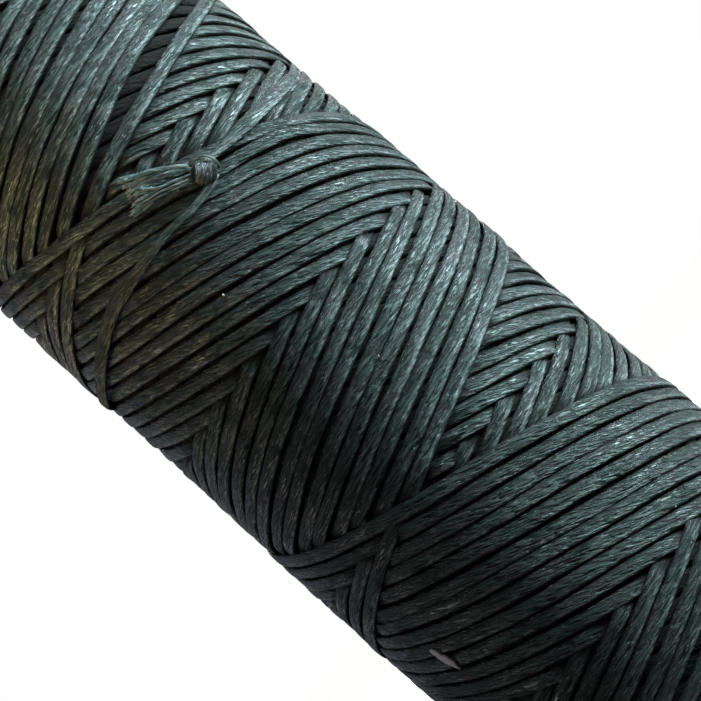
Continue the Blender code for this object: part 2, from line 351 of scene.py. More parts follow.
def cover_depth(numbers, hand, z):
    """How many newer strands lie on a pass at each height, easing from one count to the next.

    Crossing strands are met one by one along a pass. Counted from the last place where both
    hands are equally new, the next ones are newer and lie on top, until the newest is passed
    and the oldest follow underneath.
    """
    sets = np.floor(-numbers / strands_in_rise)[:, None]
    age = -numbers[:, None] - sets * strands_in_rise
    met = 2 * strands_in_rise * (z - crossing_z) / turn_rise
    met = np.mod(hand * (met + 0.5), strands_in_rise)
    newer = age + (hand > 0)
    ease = 0.55
    covered = np.zeros_like(met)
    for lap in (-1, 0, 1):
        covered += smooth((met + lap * strands_in_rise) / (2 * ease) + 0.5)
        covered -= smooth((met + lap * strands_in_rise - newer) / (2 * ease) + 0.5)
    return 2 * sets + covered


def point_values(mesh, name, values):
    """Gives each point of a mesh a value under a name."""
    layer = mesh.attributes.new(name, "FLOAT", "POINT")
    layer.data.foreach_set("value", values.astype(np.float32))


def strand_piece(name, material, node, middle, outward, width, thickness, roll, shade, covered,
                 sides, flatness):
    """Flat tubes along many lines at once, as one piece.

    middle and outward are lines by points by xyz, shade is one number for each line, and width,
    thickness, roll and covered are lines by points or one number for all. The section is a
    superellipse: cosine and sine, each raised to the flatness. roll turns it about its line,
    and covered, from 0 to 1, is painted shade, as where newer strands lie over it. The map's U
    is the length and V the way round from the underside, both in millimetres.
    """
    lines, points = middle.shape[:2]
    width, thickness, roll, covered = (np.broadcast_to(values, (lines, points))
                                       for values in (width, thickness, roll, covered))
    along = np.gradient(middle, axis=1)
    along /= np.linalg.norm(along, axis=2, keepdims=True)
    across = np.cross(along, outward)
    across /= np.linalg.norm(across, axis=2, keepdims=True)
    upright = np.cross(across, along)
    around = 2 * math.pi * np.arange(sides) / sides - math.pi / 2
    out_w, out_t = (np.sign(wave) * np.abs(wave) ** flatness / 2
                    for wave in (np.cos(around), np.sin(around)))
    side_way = width[..., None] * out_w
    up_way = thickness[..., None] * out_t
    turned_side = side_way * np.cos(roll)[..., None] - up_way * np.sin(roll)[..., None]
    turned_up = side_way * np.sin(roll)[..., None] + up_way * np.cos(roll)[..., None]
    ring = (middle[:, :, None] + across[:, :, None] * turned_side[..., None]
            + upright[:, :, None] * turned_up[..., None])

    first = (np.arange(lines)[:, None, None] * points + np.arange(points - 1)[:, None]) * sides
    side = np.arange(sides)
    next_side = (side + 1) % sides
    quads = np.stack([first + side, first + sides + side, first + sides + next_side,
                      first + next_side], -1).reshape(-1, 4)
    line_start = np.arange(lines)[:, None] * points * sides
    caps = np.concatenate([line_start + side, line_start + (points - 1) * sides + side[::-1]])
    corners = np.concatenate([quads.ravel(), caps.ravel()])
    starts = np.concatenate([np.arange(len(quads)) * 4,
                             len(quads) * 4 + np.arange(len(caps)) * sides])
    mesh = bpy.data.meshes.new(name)
    mesh.vertices.add(lines * points * sides)
    mesh.vertices.foreach_set("co", ring.astype(np.float32).ravel())
    mesh.loops.add(len(corners))
    mesh.loops.foreach_set("vertex_index", corners.astype(np.int32))
    mesh.polygons.add(len(starts))
    mesh.polygons.foreach_set("loop_start", starts.astype(np.int32))
    mesh.update(calc_edges=True)

    step = np.linalg.norm(np.diff(middle, axis=1), axis=2)
    length = np.concatenate([np.zeros((lines, 1)), np.cumsum(step, axis=1)], axis=1)
    edges = np.hypot(np.diff(np.append(out_w, out_w[0])) * width.mean(),
                     np.diff(np.append(out_t, out_t[0])) * thickness.mean())
    around_way = np.concatenate([[0], np.cumsum(edges)])
    u = np.repeat(length[:, :, None], sides, axis=2).ravel()[corners]
    lap = np.broadcast_to(side, (*first.shape[:2], sides))
    v = around_way[np.stack([lap, lap, lap + 1, lap + 1], -1).ravel()]
    v = np.concatenate([v, np.zeros(caps.size)])
    layer = mesh.uv_layers.new(name="strand")
    layer.data.foreach_set("uv", (np.stack([u, v], -1) * 1000).astype(np.float32).ravel())
    point_values(mesh, "shade", np.repeat(shade, points * sides))
    point_values(mesh, "covered", np.repeat(covered, sides))
    mesh.shade_smooth()
    place_piece(name, mesh, "waxed_thread", material, node)


def filament_group():
    """Filaments of a flat waxed strand, from its map in millimetres and its own number.

    Light rises on raised filaments and with a painted highlight on the lower edge, and falls
    with painted shade towards the upper edge. Flakes marks bits of bare wax and painted glints,
    more of them on the painted highlight. Tint marks where the dye leans to violet, Side is 1 on
    the strand's sides and underside, where the material paints shade into the seams, Gloss marks
    smooth wax, and Height is the relief in millimetres: raised filaments on a crown that falls
    with the square of the way from the top.
    """
    tree = bpy.data.node_groups.new("waxed_filaments", "ShaderNodeTree")
    for name in ("Along", "Round", "Half Round", "Strand"):
        tree.interface.new_socket(name=name, in_out="INPUT", socket_type="NodeSocketFloat")
    for name in ("Light", "Flakes", "Tint", "Side", "Gloss", "Height"):
        tree.interface.new_socket(name=name, in_out="OUTPUT", socket_type="NodeSocketFloat")
    given = add_node(tree, "NodeGroupInput").outputs
    result = add_node(tree, "NodeGroupOutput").inputs

    def times(first, second):
        """One value times another."""
        return maths(tree, "MULTIPLY", first, second)

    def plus(first, second):
        """The sum of two values."""
        return maths(tree, "ADD", first, second)

    seed = times(given["Strand"], 97.0)

    def streaks(per_mm_along, per_mm_across, slant, detail, distortion):
        """Noise drawn out along the strand, slanting across it by a twist, its own on each."""
        where = add_node(tree, "ShaderNodeCombineXYZ")
        across = plus(given["Round"], times(given["Along"], slant))
        feed(tree, times(given["Along"], per_mm_along), where.inputs[0])
        feed(tree, times(across, per_mm_across), where.inputs[1])
        feed(tree, seed, where.inputs[2])
        return noise(tree, where.outputs[0], 1.0, detail, distortion)

    filaments = streaks(0.5, 11.0, 0.10, 3.0, 0.15)
    tufts = streaks(1.2, 6.0, 0.20, 3.0, 0.35)
    patches = streaks(0.5, 1.3, 0.0, 2.0, 0.3)
    flecks = streaks(2.4, 12.0, 0.20, 2.0, 0.4)
    dye = streaks(0.45, 0.9, 0.0, 1.0, 0.0)
    from_top = maths(tree, "SUBTRACT", given["Half Round"], given["Round"])
    # A painted highlight along the lower edge, and painted shade towards the upper edge.
    lip = times(spread(tree, from_top, 0.20, 0.34), spread(tree, from_top, 0.50, 0.42))
    painted_far_edge_shade = spread(tree, from_top, -0.05, -0.42)
    crisp = spread(tree, plus(times(filaments, 0.55), times(tufts, 0.45)), 0.44, 0.57)
    clumps = spread(tree, tufts, 0.38, 0.62)
    patchy = spread(tree, patches, 0.34, 0.68)
    painted_edge_highlight = times(lip, spread(tree, plus(times(tufts, 0.4), patches), 0.50, 0.76))
    body = plus(times(crisp, 0.40), plus(times(clumps, 0.25), times(patchy, 0.32)))
    body = times(body, maths(tree, "SUBTRACT", 1.0, times(painted_far_edge_shade, 0.70)))
    feed(tree, plus(body, times(painted_edge_highlight, 0.80)), result["Light"])
    # Specks of bare wax and painted glints, more of them on the painted edge highlight.
    fleck = plus(plus(flecks, times(painted_edge_highlight, 0.14)), times(patchy, 0.05))
    feed(tree, spread(tree, fleck, 0.66, 0.75), result["Flakes"])
    feed(tree, spread(tree, dye, 0.46, 0.64), result["Tint"])
    # The sides and underside, where the material paints shade into the seams.
    off_middle = maths(tree, "ABSOLUTE", maths(tree, "SUBTRACT", from_top, 0.04))
    feed(tree, spread(tree, off_middle, 0.42, 0.53), result["Side"])
    feed(tree, patchy, result["Gloss"])
    crown = times(times(from_top, from_top), -0.45)
    feed(tree, plus(plus(times(crisp, 0.050), times(clumps, 0.050)), crown), result["Height"])
    return tree


waxed_filaments = filament_group()


def between(tree, share, start, end):
    """A value on the straight way from start to end, by a share."""
    return spread(tree, share, 0.0, 1.0, start, end, False)


def waxed_thread(name, half_round, colours):
    """Waxed thread whose section measures half_round millimetres from underside to top.

    The colours are those of its hollows and painted shade, its body, its raised filaments and
    painted highlight, and its flakes of wax and painted glints. Covered strands and the seams
    take painted shade of their own colours.
    """
    material, tree, shader = new_material(name)
    ways = add_node(tree, "ShaderNodeSeparateXYZ")
    feed(tree, add_node(tree, "ShaderNodeUVMap", uv_map="strand").outputs[0], ways.inputs[0])
    strand = add_node(tree, "ShaderNodeAttribute", attribute_name="shade").outputs["Fac"]
    covered = add_node(tree, "ShaderNodeAttribute", attribute_name="covered").outputs["Fac"]
    group = add_node(tree, "ShaderNodeGroup", node_tree=waxed_filaments)
    give(tree, group, Along=ways.outputs[0], Round=ways.outputs[1], Half_Round=half_round,
         Strand=strand)
    detail = group.outputs
    ramp = add_node(tree, "ShaderNodeValToRGB")
    ramp.color_ramp.elements[0].color = (*colours[0], 1)
    ramp.color_ramp.elements[1].color = (*colours[2], 1)
    ramp.color_ramp.elements.new(0.45).color = (*colours[1], 1)
    feed(tree, detail["Light"], ramp.inputs[0])
    violet = maths(tree, "MULTIPLY", detail["Tint"], violet_share)
    shaded = add_node(tree, "ShaderNodeHueSaturation")
    give(tree, shaded, Color=blend_colours(tree, violet, ramp.outputs[0], violet_tint),
         Value=between(tree, strand, dullest_strand, brightest_strand),
         Hue=between(tree, detail["Gloss"], 0.485, 0.515),
         Saturation=between(tree, detail["Gloss"], 1.25, 0.85))
    # Brighter strands, right-hand ones among them, get more flakes and painted glints.
    flaking = maths(tree, "MULTIPLY", detail["Flakes"],
                    between(tree, strand, least_flaked, most_flaked))
    flaked = blend_colours(tree, flaking, shaded.outputs[0], colours[3])
    # Strands that others cover get painted shade.
    under = blend_colours(tree, covered, flaked, shaded_brown)
    hidden = maths(tree, "MAXIMUM", detail["Side"], covered)
    waxy = between(tree, detail["Gloss"], dull_roughness, gloss_roughness)
    # The sides and underside get a darker painted shade in the seams.
    give(tree, shader, Base_Color=blend_colours(tree, detail["Side"], under, painted_groove_shade),
         Roughness=between(tree, hidden, waxy, hidden_roughness),
         Specular_IOR_Level=wax_shine, Specular_Tint=(*shine_tint, 1.0))
    emboss(tree, detail["Height"], 1.0, 0.001, shader)
    return material


waxed_colours = (dark_green, thread_green, filament_and_highlight_green, bare_wax_and_glint)
wound_thread = waxed_thread("wound_thread", strand_half_round, waxed_colours)


def slipped(numbers, hand, angle, z):
    """How far the newest passes have slipped along the spool near the knot.

    Above the knot the newest right-hand pass has slipped down and those before it up, each by
    a share of the one after. Left-hand ones were pulled down at the knot and up to its right,
    and less the older they are. All of it fades out as bell curves of the distance.
    """
    if hand > 0:
        slip = np.where(numbers == 0, -slip_down, slip_up * slip_share ** (-numbers - 1.0))
        return slip[:, None] * np.exp(-((z - slip_z) / slip_reach) ** 2)
    side = (np.mod(angle - knot_angle + math.pi, 2 * math.pi) - math.pi) * package_radius
    pull = (pulled_up * np.exp(-((side - pulled_up_side) / pulled_up_reach) ** 2)
            - pulled_down * np.exp(-((side - pulled_down_side) / pulled_down_reach) ** 2))
    share = np.where(numbers == 0, 0.0, pull_share ** (-numbers - 1.0))[:, None]
    return share * pull * np.exp(-((z - knot_z) / pull_reach) ** 2)


def lay_passes(name, newest, oldest, hand, sides, spacing):
    """Passes of one hand, laid with a hand-guided unevenness, in pieces of some strands each."""
    numbers = np.arange(oldest, newest + 1)
    angle, z, near_loop, length = pass_lines(numbers, hand, spacing)
    count, free = len(numbers), 1 - near_loop
    aside = rng.uniform(-aside_reach, aside_reach, (count, 1)) + wander(count, length, *aside_waves)
    z = z + (aside + slipped(numbers, hand, angle, z)) * free
    uneven = rng.uniform(narrowest, widest, (count, 1)) + wander(count, length, *width_waves)
    width = thread_width * (1 + uneven * free)
    thickness = thread_thickness * (1 + wander(count, length, *thickness_waves))
    roll = strand_roll * hand + rng.uniform(-roll_reach, roll_reach, (count, 1))
    roll = (roll + wander(count, length, *roll_waves)) * free
    sets = np.floor(-numbers / strands_in_rise)[:, None]
    settled = np.minimum(-numbers / strands_in_rise, 1.0)[:, None]
    layers_over = cover_depth(numbers, hand, z)
    # covered is painted shade where newer strands lie over a pass, and on the under passes near
    # their loops.
    covered = smooth((layers_over - cover_start) / cover_ease) * free
    covered = covered + near_loop * np.minimum(sets, 1)
    depth = (layers_over + settled) * free + near_loop * (loop_depth + 2 * sets)
    depth = np.maximum(depth + depth_reach * free * wander(count, length, *depth_waves), 0)
    radius, lean = outer_surface(z)
    upright = np.sqrt(1 - lean ** 2)
    inward = thread_thickness / 2 + layer_rise * depth
    middle = spool_points(radius - inward * upright, angle, z - inward * lean)
    outward = np.stack([upright * np.cos(angle), upright * np.sin(angle), lean], -1)
    # Each pass's tone is random, and right-hand passes get a painted sheen on top.
    shade = (1 - painted_right_hand_sheen) * rng.uniform(0, 1, count) + painted_right_hand_sheen * (hand > 0)
    laid = [rows[:, ::hand] for rows in (middle, outward, width, thickness, roll)]
    share = max(1, piece_triangles // (length.size * sides * 2))
    for at in range(0, count, share):
        some = slice(at, at + share)
        strand_piece(f"{name}_{at // share + 1}", wound_thread, "thread_package",
                     *(rows[some] for rows in laid), shade[some], covered[some, ::hand],
                     sides, section_flatness)


newest_under, oldest_under = -strands_in_rise, 1 - 2 * strands_in_rise
lay_passes("right_hand_under", newest_under, oldest_under, 1, under_sides, under_spacing)
lay_passes("left_hand_under", newest_under, oldest_under, -1, under_sides, under_spacing)


# ---- Outer passes ----
# The newest pass of each hand and the 22 before it cover the whole package. Where they cross,
# the newer one lies on top, and that draws the herringbone.

outer_sides, outer_spacing = 16, 0.0005
lay_passes("right_hand_passes", 0, 1 - strands_in_rise, 1, outer_sides, outer_spacing)
lay_passes("left_hand_passes", 0, 1 - strands_in_rise, -1, outer_sides, outer_spacing)


# ---- Turned-back strands ----
# On each end face the strands of every layer turn back. They stand on edge there, one layer
# inside another, and show as rings of overlapping loops.

face_layer_pitch = 0.00034
outermost_gap = 0.0010          # from the last ring of loops to the package's outside
loop_points = 17
loop_half_turn = 0.62
loop_tuck = 0.55                # in layers: how far one end lies under the next
layer_turn = 1.7                # from the loops of a layer to those of the next
loop_stagger = 0.2              # in strands
loop_spread = 0.00022           # how unevenly the loops' tips line up
loop_roll = 0.12
loop_sides = 8


def turned_back(name, end_z, outward):
    """The loops of one end face, layer inside layer.

    Along a loop the height falls from its tip as a parabola of the angle and then in a straight
    line, and the radius leans across half a layer, so that each loop tucks under the next.
    """
    radii = np.arange(winding_bore + thread_thickness / 2, package_radius - outermost_gap,
                      face_layer_pitch)
    count = len(radii) * strands_in_rise
    layer, strand = np.divmod(np.arange(count), strands_in_rise)
    turn = np.linspace(-loop_half_turn, loop_half_turn, loop_points)[None, :]
    start = (strand + rng.uniform(-loop_stagger, loop_stagger, count)) * strand_turn
    angle = (start + layer_turn * layer)[:, None] + turn
    knee = loop_turn / 2
    slope = rise_per_angle * radii[layer][:, None] / package_radius
    fall = np.where(np.abs(turn) < knee, turn ** 2 / (2 * knee), np.abs(turn) - knee / 2) * slope
    leaned = end_lean * (radii[layer] - winding_bore) / (package_radius - winding_bore)
    inset = thread_width / 2 + leaned + rng.uniform(0, loop_spread, count)
    z = end_z - outward * (inset[:, None] + fall)
    radius = radii[layer][:, None] + face_layer_pitch * loop_tuck * turn / loop_half_turn
    strand_piece(name, wound_thread, "thread_package", spool_points(radius, angle, z),
                 spool_points(1, angle, 0), thread_width, thread_thickness,
                 rng.uniform(-loop_roll, loop_roll, (count, 1)), rng.uniform(0, 1, count), 0,
                 loop_sides, section_flatness)


turned_back("upper_end_loops", winding_high.z, 1)
turned_back("lower_end_loops", winding_low.z, -1)


# ---- Tie strand and feeding strand ----
# At the knot the thread's outer end is pulled tight. One strand comes down to it from the right
# over the older ones. Another leaves it tight and twisted, widens again where it lies down on
# the winding, and goes under the others at the back.

seat_radius = package_radius + 0.00012
tight_width = 0.00050
tight_colours = ((0.020, 0.032, 0.033), (0.085, 0.140, 0.138),
                 (0.23, 0.37, 0.36), (0.50, 0.70, 0.70))
laid_sides, laid_flatness, tight_half_round = 16, 0.7, 1.0
tie_length, tie_start = 0.0195, 0.00035
tie_drop, tie_sag, sag_middle, sag_reach = 0.00060, 0.00016, 0.0019, 0.0012
tie_climb, climb_length = 0.00030, 0.0008
tie_clearance, knot_clearance, laid_clearance = 0.00010, 0.00012, -0.00014
tie_settled, settling_length = 0.0085, 0.0040   # to its full width, and over how far
tie_bend, bend_length, tie_slope = 0.0090, 0.0010, 0.25
tie_dive, dive_length, dive_depth = 0.0180, 0.0014, 0.00070
tie_twist, twist_length, twist_fade = 0.45, 0.0011, 0.006
# The tie strand gets painted shade, and a rougher finish, away from the knot.
tie_shade, tie_painted_shade, feed_shade = 0.95, 0.5, 0.75
feed_length, feed_start = 0.0092, 0.0006
feed_rise, feed_bow = 0.00054, 10.0             # the bow is in metres to a square metre
feed_lift, feed_clearance, feed_roll = 0.00028, 0.00002, 0.35


def laid_strand(name, node, side, rise, lift, width, roll, shade, dulled=0.0):
    """A flat strand laid on the winding, from arrays along it.

    side and rise are its way round and up from the knot, and lift is its underside's height
    above the strands it lies on. dulled, from 0 to 1, gives it painted shade and a rougher
    finish, as on strands that others cover.
    """
    angle = knot_angle + side / seat_radius
    middle = spool_points(seat_radius + thread_thickness / 2 + lift, angle, knot_z + rise)[None]
    facing = spool_points(1, angle, 0)[None]
    strand_piece(name, tight_thread, node, middle, facing, width, thread_thickness, roll,
                 np.array([shade]), dulled, laid_sides, laid_flatness)


tight_thread = waxed_thread("tight_thread", tight_half_round, tight_colours)
side = np.linspace(-tie_length, tie_start, 120)
past_bend = np.maximum(-side - tie_bend, 0)
settling = smooth((-side - tie_settled + settling_length) / settling_length)
tie_rise = (-tie_drop - tie_sag * np.exp(-((side + sag_middle) / sag_reach) ** 2)
            + tie_climb * smooth(0.4 + side / climb_length)
            - tie_slope * past_bend ** 2 / (past_bend + bend_length))
tie_lift = (tie_clearance + knot_clearance * smooth(1 + side / settling_length)
            + laid_clearance * settling - dive_depth * smooth((-side - tie_dive) / dive_length))
tie_roll = tie_twist * smooth(1 + side / twist_fade) * np.sin(side / twist_length)
laid_strand("tie_thread", "tie_strand", side, tie_rise, tie_lift,
            tight_width + (thread_width - tight_width) * settling, tie_roll, tie_shade,
            tie_painted_shade * settling)
way = np.linspace(0, 1, 60)
side = feed_start + feed_length * way
laid_strand("feed_thread", "feed_strand", side, feed_rise + feed_bow * side ** 2,
            feed_lift * (1 - smooth(6 * way)) + feed_clearance,
            tight_width + (thread_width - tight_width) * smooth(2.5 * way),
            feed_roll * (1 - smooth(3 * way)), feed_shade)


# ---- Knot ----
# The knot is a thumb knot pulled down hard. A fat turn of thread goes round the root of the
# cut tail, and a second turn is bent over it. The filaments run round the one and along the other.

turn_length, turn_width, knot_height = 0.00150, 0.00134, 0.00094
turn_slant = math.radians(-48.7)
turn_side, turn_rise_from_knot = -0.00007, 0.00010
turn_fullness = 0.62            # of the barrel: 1 for an ellipse, towards 0 for a cylinder
ridge_pitch, fine_ridge_pitch, ridge_depth, dent_depth = 0.00023, 0.00014, 0.012, 0.020
bent_radius, bent_width, bent_height, bent_roll = 0.00080, 0.00052, 0.00036, -0.5
bent_side, bent_rise, bent_clearance = -0.00004, 0.00017, 0.00004
bent_fullness, bent_shade = 0.6, 0.9
bent_from, bent_to = 118, -18   # in degrees round the fat turn
ridge_drift, fine_drift = 0.00005, 0.00003
dent_wave, cross_wave = 5200, 3100              # in radians to a metre
knot_rows, knot_columns = 56, 72
knot_half_round, knot_shade = 0.9, 0.75         # the first in millimetres
knot_colours = ((0.030, 0.038, 0.046), (0.105, 0.138, 0.155),
                (0.25, 0.35, 0.39), (0.50, 0.66, 0.72))


def knot_mesh(name):
    """A flattened barrel on a slanting axis, with ridges of filaments round it.

    Along the axis the half width follows a sine raised to a power, less ridges that are sines
    of the place along the axis, drifting with the way round, and dents that are the product of
    two sines of both.
    """
    t = np.linspace(0, math.pi, knot_rows)[:, None]
    p = 2 * math.pi * np.arange(knot_columns)[None, :] / knot_columns
    place = -np.cos(t) * turn_length / 2 + 0 * p
    drift = place + ridge_drift * np.sin(p + 0.6) + fine_drift * np.sin(2 * p + 1)
    ridges = (np.sin(drift * 2 * math.pi / ridge_pitch)
              + 0.8 * np.sin(drift * 2 * math.pi / fine_ridge_pitch + 2 * np.cos(p)))
    dents = np.sin(3 * p + place * dent_wave + 0.8) * np.sin(2 * p - place * cross_wave)
    body = np.sin(t) ** turn_fullness * (1 - ridge_depth * ridges - dent_depth * dents)
    outward = np.array([math.cos(knot_angle), math.sin(knot_angle), 0.0])
    sideways = np.array([-math.sin(knot_angle), math.cos(knot_angle), 0.0])
    upward = np.array([0.0, 0.0, 1.0])
    lengthways = math.cos(turn_slant) * sideways + math.sin(turn_slant) * upward
    across = math.cos(turn_slant) * upward - math.sin(turn_slant) * sideways
    centre = ((seat_radius + knot_height / 2) * outward + turn_side * sideways
              + (knot_z + turn_rise_from_knot) * upward)
    points = (centre + lengthways * place[..., None]
              + across * (turn_width / 2 * body * np.cos(p))[..., None]
              + outward * (knot_height / 2 * body * np.sin(p))[..., None])
    mesh = ringed_mesh(name, points[1:-1], False)
    around_mm = p * (turn_width + knot_height) / 4 * 1000 + 0 * t
    across_mm = place * 1000 + knot_half_round
    where = np.stack([around_mm, across_mm], -1)[1:-1].reshape(-1, 2)
    corners = np.empty(len(mesh.loops), dtype=np.int32)
    mesh.loops.foreach_get("vertex_index", corners)
    layer = mesh.uv_layers.new(name="strand")
    layer.data.foreach_set("uv", where[corners].astype(np.float32).ravel())
    point_values(mesh, "shade", np.full(len(mesh.vertices), knot_shade))
    return mesh


knot_thread = waxed_thread("knot_thread", knot_half_round, knot_colours)
place_piece("knot_turn", knot_mesh("knot_turn"), "waxed_thread", knot_thread, "end_knot")
way = np.linspace(0, 1, 48)
bend = np.radians(bent_from + (bent_to - bent_from) * way)
laid_strand("knot_bend", "end_knot", bent_side + bent_radius * np.cos(bend),
            bent_rise + bent_radius * np.sin(bend),
            bent_clearance + bent_height * np.sin(math.pi * way) ** bent_fullness,
            bent_width, bent_roll * np.sin(math.pi * way), bent_shade)


# ---- Cut tail ----
# The cut end has frayed and lost its wax. Past the knot it opens into tufts that cross each
# other and end raggedly in two bunches, with short loose filaments at their tips.

tail_heading = math.radians(61.6)
tail_root = (-0.00035, 0.00058)
tail_length = 0.0040
root_lift, middle_lift, tip_lift, fibre_waver = 0.00030, 0.00014, 0.00020, 0.00006
# Each tuft's place across the tail at its root, middle and tip, its length and its width.
tufts = np.array([
    (-0.42, -0.84, -1.02, 1.00, 0.00034),
    (-0.20, -0.56, -0.66, 0.98, 0.00024),
    (-0.36, -0.50, -0.08, 0.95, 0.00023),
    (0.02, 0.16, -0.20, 0.88, 0.00020),
    (0.16, 0.14, 0.52, 0.92, 0.00019),
    (0.30, 0.44, 0.74, 0.97, 0.00021),
    (0.42, 0.60, 0.96, 1.02, 0.00024),
    (-0.38, -0.70, -0.40, 0.92, 0.00017),
])
tuft_thickness, tuft_waist, tuft_roll, tuft_lift = 0.00016, 0.15, 0.5, 0.00030
tuft_sides, tuft_flatness, tuft_half_round, tuft_points = 10, 0.8, 0.36, 24
hairs_in_tuft, hair_start = 18, 0.74            # the start is a share of the tail
hair_splay, widest_splay = (0.06, 0.02, 0.15), 1.4
shortest_hair, longest_hair = 0.90, 1.08
finest_hair, coarsest_hair, hair_lift = 0.00004, 0.00011, 0.00022
hair_sides, hair_half_round, hair_points = 5, 0.06, 12
least_lift = 0.00002
frayed_colours = ((0.056, 0.105, 0.108), (0.205, 0.360, 0.368),
                  (0.48, 0.75, 0.78), (0.64, 0.88, 0.92))
loose_colours = ((0.25, 0.44, 0.50), (0.54, 0.79, 0.88), (0.74, 0.92, 0.98), (0.84, 0.95, 0.99))


def fibre_lines(places, lengths, lifts, start, points):
    """Lines of fibres that leave the knot and fan out over the winding.

    Across the tail each fibre follows the parabola through its places at the root, the middle
    and the tip, in millimetres, and a sine that grows towards the tip. Its lift above the
    winding is a hump on a curve that falls from the knot and rises a little at the tip.
    """
    s = np.linspace(start, 1, points)[None, :]
    root, half, tip = (places[:, at, None] / 1000 for at in range(3))
    aside = root * (1 - s) * (1 - 2 * s) + half * 4 * s * (1 - s) + tip * s * (2 * s - 1)
    aside = aside + fibre_waver * s * np.sin(9 * s + 5 * np.arange(len(places))[:, None])
    onward = lengths[:, None] * s
    side = tail_root[0] - onward * math.sin(tail_heading) - aside * math.cos(tail_heading)
    rise = tail_root[1] + onward * math.cos(tail_heading) - aside * math.sin(tail_heading)
    lift = lifts[:, None] * np.sin(math.pi * s)
    lift = lift + root_lift * (1 - s) ** 2 + middle_lift + tip_lift * s ** 3
    angle = knot_angle + side / seat_radius
    return (spool_points(seat_radius + lift, angle, knot_z + rise),
            spool_points(1, angle, 0), s)


tail_thread = waxed_thread("tail_thread", tuft_half_round, frayed_colours)
loose_fibre = waxed_thread("loose_fibre", hair_half_round, loose_colours)
count = len(tufts)
middle, facing, s = fibre_lines(tufts[:, :3], tail_length * tufts[:, 3],
                                least_lift + tuft_lift * rng.uniform(0, 1, count), 0,
                                tuft_points)
tuft_width = tufts[:, 4:] * (1 - tuft_waist * np.sin(math.pi * s))
strand_piece("tail_tufts", tail_thread, "cut_tail", middle, facing, tuft_width, tuft_thickness,
             rng.uniform(-tuft_roll, tuft_roll, (count, 1)), rng.uniform(0.5, 1, count), 0,
             tuft_sides, tuft_flatness)

hairs = np.repeat(tufts, hairs_in_tuft, axis=0)
count = len(hairs)
splay = np.clip(rng.normal(0, 1, (count, 1)), -widest_splay, widest_splay) * np.array(hair_splay)
hair_length = tail_length * hairs[:, 3] * rng.uniform(shortest_hair, longest_hair, count)
middle, facing, s = fibre_lines(hairs[:, :3] + splay, hair_length,
                                rng.uniform(least_lift, hair_lift, count), hair_start,
                                hair_points)
hair_size = rng.uniform(finest_hair, coarsest_hair, (count, 1)) * (1.5 - 0.5 * s)
strand_piece("tail_hairs", loose_fibre, "cut_tail", middle, facing, hair_size, hair_size, 0,
             rng.uniform(0.8, 1, count), 0, hair_sides, 1.0)


# ---- Wax flakes ----
# Wax has come off the thread in places, pale where it is thick. One chip lies on the lower
# left of the winding and a few crumbs sit between strands, all held by their own stickiness.

chip_size = (0.0019, 0.0006)
chip_angle, chip_z, chip_slant = math.radians(-137), crossing_z - 0.0074, math.radians(-75)
crumb_places = ((-83.4, 0.0067), (-98.3, 0.0157), (-61.0, -0.0113), (35.0, 0.0200), (150.0, 0.0020))
crumb_size = (0.00014, 0.00011)
wax_thickness, wax_cloudiness = 0.00011, 3500.0     # the second in waves in a metre
cloud_strength, cloud_depth = 0.6, 0.00005
flake_columns, flake_edge = 40, math.radians(50)
pale_wax = (0.79, 0.97, 1.00)
cloudy_wax = (0.69, 0.89, 0.95)


def flake_mesh(name, angle, z, size, slant, phase):
    """A thin flake on the winding: an ellipse with a ragged edge, domed above and flat below.

    The edge is the ellipse times 1 plus three sines. The height falls from the middle to the
    edge about as a quarter ellipse, a little unevenly round the flake.
    """
    a = 2 * math.pi * np.arange(flake_columns)[None, :] / flake_columns
    ragged = 1 + 0.12 * np.sin(2 * a + phase) + 0.08 * np.sin(5 * a + 2 * phase)
    ragged = ragged + 0.05 * np.sin(9 * a)
    share = np.array([1.0, 1.0, 0.92, 0.75, 0.5, 0.2])[:, None]
    height = wax_thickness * np.array([-0.3, 0.25, 0.55, 0.75, 0.9, 1.0])[:, None]
    height = height * (1 + 0.25 * np.sin(3 * a + phase) * share)
    long_way = size[0] / 2 * share * ragged * np.cos(a)
    short_way = size[1] / 2 * share * ragged * np.sin(a)
    side = long_way * math.cos(slant) - short_way * math.sin(slant)
    rise = long_way * math.sin(slant) + short_way * math.cos(slant)
    points = spool_points(package_radius + height, angle + side / package_radius, z + rise)
    mesh = ringed_mesh(name, points, False)
    mesh.set_sharp_from_angle(angle=flake_edge)
    return mesh


flaked_wax, tree, shader = new_material("flaked_wax")
cloud = noise(tree, object_place(tree), wax_cloudiness, 3.0, 0.8)
thick = spread(tree, cloud, 0.35, 0.65)
give(tree, shader, Base_Color=blend_colours(tree, thick, cloudy_wax, pale_wax),
     Roughness=spread(tree, cloud, 0.3, 0.7, 0.38, 0.6))
emboss(tree, cloud, cloud_strength, cloud_depth, shader)

place_piece("wax_chip", flake_mesh("wax_chip", chip_angle, chip_z, chip_size, chip_slant, 0.8),
            "waxed_thread", flaked_wax)
for number, (degrees, above) in enumerate(crumb_places, 1):
    name = f"wax_crumb_{number}"
    crumb = flake_mesh(name, math.radians(degrees), crossing_z + above, crumb_size,
                       number, 1.7 * number)
    place_piece(name, crumb, "waxed_thread", flaked_wax)


# ---- Floor, light and camera ----
# The spool stands on a pale floor before a white background. A tall window lights it from the
# right and a lamp from behind, and on its left are a small warm lamp and a faint rose one.
# Black and grey cards that the camera doesn't see make the wax mirror a dim room.

